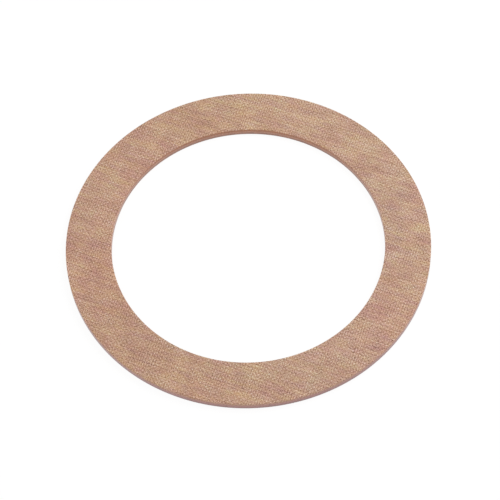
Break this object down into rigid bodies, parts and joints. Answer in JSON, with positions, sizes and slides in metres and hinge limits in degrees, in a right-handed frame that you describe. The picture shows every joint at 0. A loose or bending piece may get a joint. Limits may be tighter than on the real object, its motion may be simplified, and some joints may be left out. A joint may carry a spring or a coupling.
{
  "type": "thrust washer",
  "caption": "Flat cloth-laminate thrust washer: a thin ring with a wide plain bore, two flat thrust faces and lightly broken edges.",
  "frame": {"origin": "centre of the lower thrust face, on the bore's axis", "axes": "+Z along the bore's axis, out of the upper thrust face; X and Y lie in the lower face"},
  "size_m": [0.0762, 0.0762, 0.0018],
  "materials": {
    "cloth_laminate": "natural cotton cloth laminate, satin faces with the weave showing, darker turned walls"
  },
  "bodies": {
    "root": {"thrust_washer": "cloth_laminate"}
  },
  "joints": []
}
